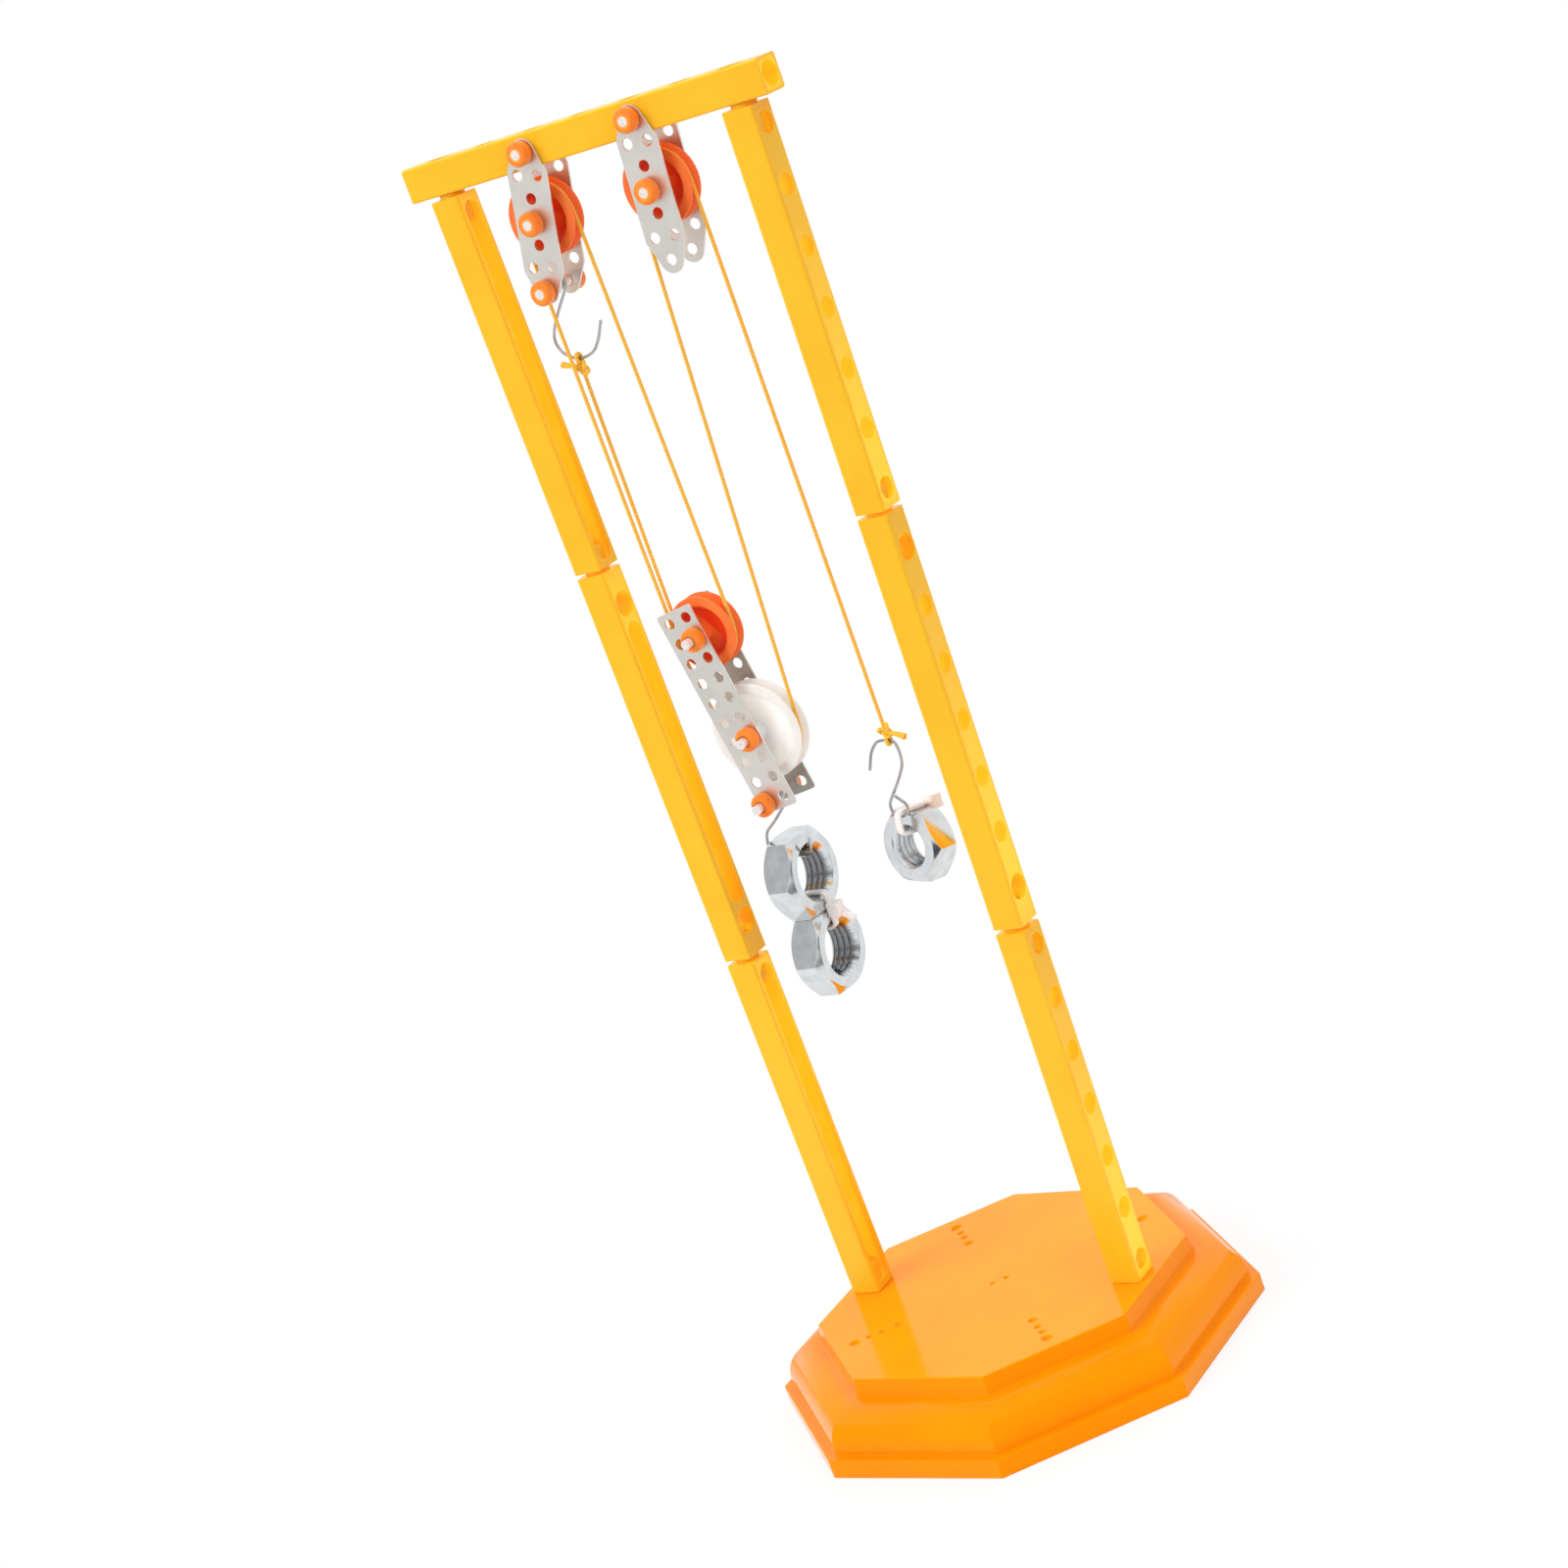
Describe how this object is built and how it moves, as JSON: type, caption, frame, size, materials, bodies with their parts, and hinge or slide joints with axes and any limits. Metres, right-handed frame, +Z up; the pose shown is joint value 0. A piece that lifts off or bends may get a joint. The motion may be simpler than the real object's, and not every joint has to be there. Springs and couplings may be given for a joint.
{
  "type": "pulley demonstrator",
  "caption": "Block and tackle demonstrator: a splayed beam frame on an octagonal base, with hanging pulley blocks, a travelling load block, a reeved cord and hexagon nuts as weights.",
  "frame": {"origin": "centre of the base's underside", "axes": "+Z up, X along the crossbar, -Y towards the viewer's side where the cord passes in front of the load block"},
  "size_m": [0.1716, 0.1716, 0.4769],
  "materials": {
    "base_orange": "high-gloss injection-moulded ABS",
    "beam_yellow": "semi-gloss injection-moulded ABS",
    "peg_yellow": "semi-gloss injection-moulded ABS",
    "strip_steel": "satin zinc-plated punched strip",
    "pin_steel": "bright drawn rod",
    "collar_orange": "flexible vinyl tube",
    "wheel_orange": "semi-gloss injection-moulded plastic",
    "wheel_white": "semi-gloss translucent nylon",
    "hook_wire": "bright drawn wire",
    "nut_zinc": "bright zinc plating",
    "tie_nylon": "natural translucent nylon",
    "cord_orange": "braided cord"
  },
  "bodies": {
    "frame": {"base_plinth": "base_orange", "left_post_lower_beam": "beam_yellow", "left_post_middle_beam": "beam_yellow", "left_post_upper_beam": "beam_yellow", "right_post_lower_beam": "beam_yellow", "right_post_middle_beam": "beam_yellow", "right_post_upper_beam": "beam_yellow", "crossbar_beam": "beam_yellow", "left_post_pegs": "peg_yellow", "right_post_pegs": "peg_yellow", "left_block_front_plate": "strip_steel", "left_block_back_plate": "strip_steel", "left_block_hanger_pin": "pin_steel", "left_block_axle": "pin_steel", "left_block_becket_pin": "pin_steel", "left_block_collars": "collar_orange", "right_block_front_plate": "strip_steel", "right_block_back_plate": "strip_steel", "right_block_hanger_pin": "pin_steel", "right_block_axle": "pin_steel", "right_block_collars": "collar_orange", "anchor_hook": "hook_wire", "cord": "cord_orange"},
    "left_wheel": {"left_block_wheel": "wheel_orange"},
    "right_wheel": {"right_block_wheel": "wheel_orange"},
    "load_block": {"load_block_front_plate": "strip_steel", "load_block_back_plate": "strip_steel", "load_block_upper_axle": "pin_steel", "load_block_lower_axle": "pin_steel", "load_block_hook_pin": "pin_steel", "load_block_collars": "collar_orange"},
    "upper_wheel": {"upper_load_wheel": "wheel_orange"},
    "lower_wheel": {"lower_load_wheel": "wheel_white"},
    "load": {"load_hook": "hook_wire", "upper_load_nut": "nut_zinc", "lower_load_nut": "nut_zinc", "load_nut_tie": "tie_nylon"},
    "effort": {"effort_hook": "hook_wire"},
    "effort_weight": {"effort_nut": "nut_zinc", "effort_nut_tie": "tie_nylon"}
  },
  "joints": [
    {"name": "load_lift", "type": "slide", "parent": "frame", "child": "load_block", "axis": [0, 0, 1], "range_m": [-0.033, 0.037], "deforming": ["cord"]},
    {"name": "effort_travel", "type": "slide", "parent": "frame", "child": "effort", "axis": [0, 0, 1], "range_m": [-0.149, 0.133], "deforming": ["cord"]},
    {"name": "left_wheel_spin", "type": "hinge", "parent": "frame", "child": "left_wheel", "pos_m": [-0.02806, 0, 0.44751], "axis": [0, 1, 0], "range_deg": [-363, 363]},
    {"name": "right_wheel_spin", "type": "hinge", "parent": "frame", "child": "right_wheel", "pos_m": [0.02183, 0, 0.44696], "axis": [0, 1, 0], "range_deg": [-722, 722]},
    {"name": "upper_wheel_spin", "type": "hinge", "parent": "load_block", "child": "upper_wheel", "pos_m": [-0.02422, 0, 0.29405], "axis": [0, 1, 0], "range_deg": [-183, 183]},
    {"name": "lower_wheel_spin", "type": "hinge", "parent": "load_block", "child": "lower_wheel", "pos_m": [-0.01672, 0, 0.25476], "axis": [0, 1, 0], "range_deg": [-391, 391]},
    {"name": "load_swing", "type": "hinge", "parent": "load_block", "child": "load", "pos_m": [-0.02008, 0, 0.22969], "axis": [0, 1, 0], "range_deg": [-12, 12]},
    {"name": "effort_swing", "type": "hinge", "parent": "effort", "child": "effort_weight", "pos_m": [0.03209, -0.0053, 0.21909], "axis": [0, 1, 0], "range_deg": [-12, 12]}
  ],
  "couplings": [
    {"joint": "effort_travel", "follows": "load_lift", "ratio": -4},
    {"joint": "upper_wheel_spin", "follows": "load_lift", "rad_per_m": -84.746},
    {"joint": "left_wheel_spin", "follows": "load_lift", "rad_per_m": -169.49},
    {"joint": "lower_wheel_spin", "follows": "load_lift", "rad_per_m": -182.93},
    {"joint": "right_wheel_spin", "follows": "load_lift", "rad_per_m": 338.98}
  ]
}
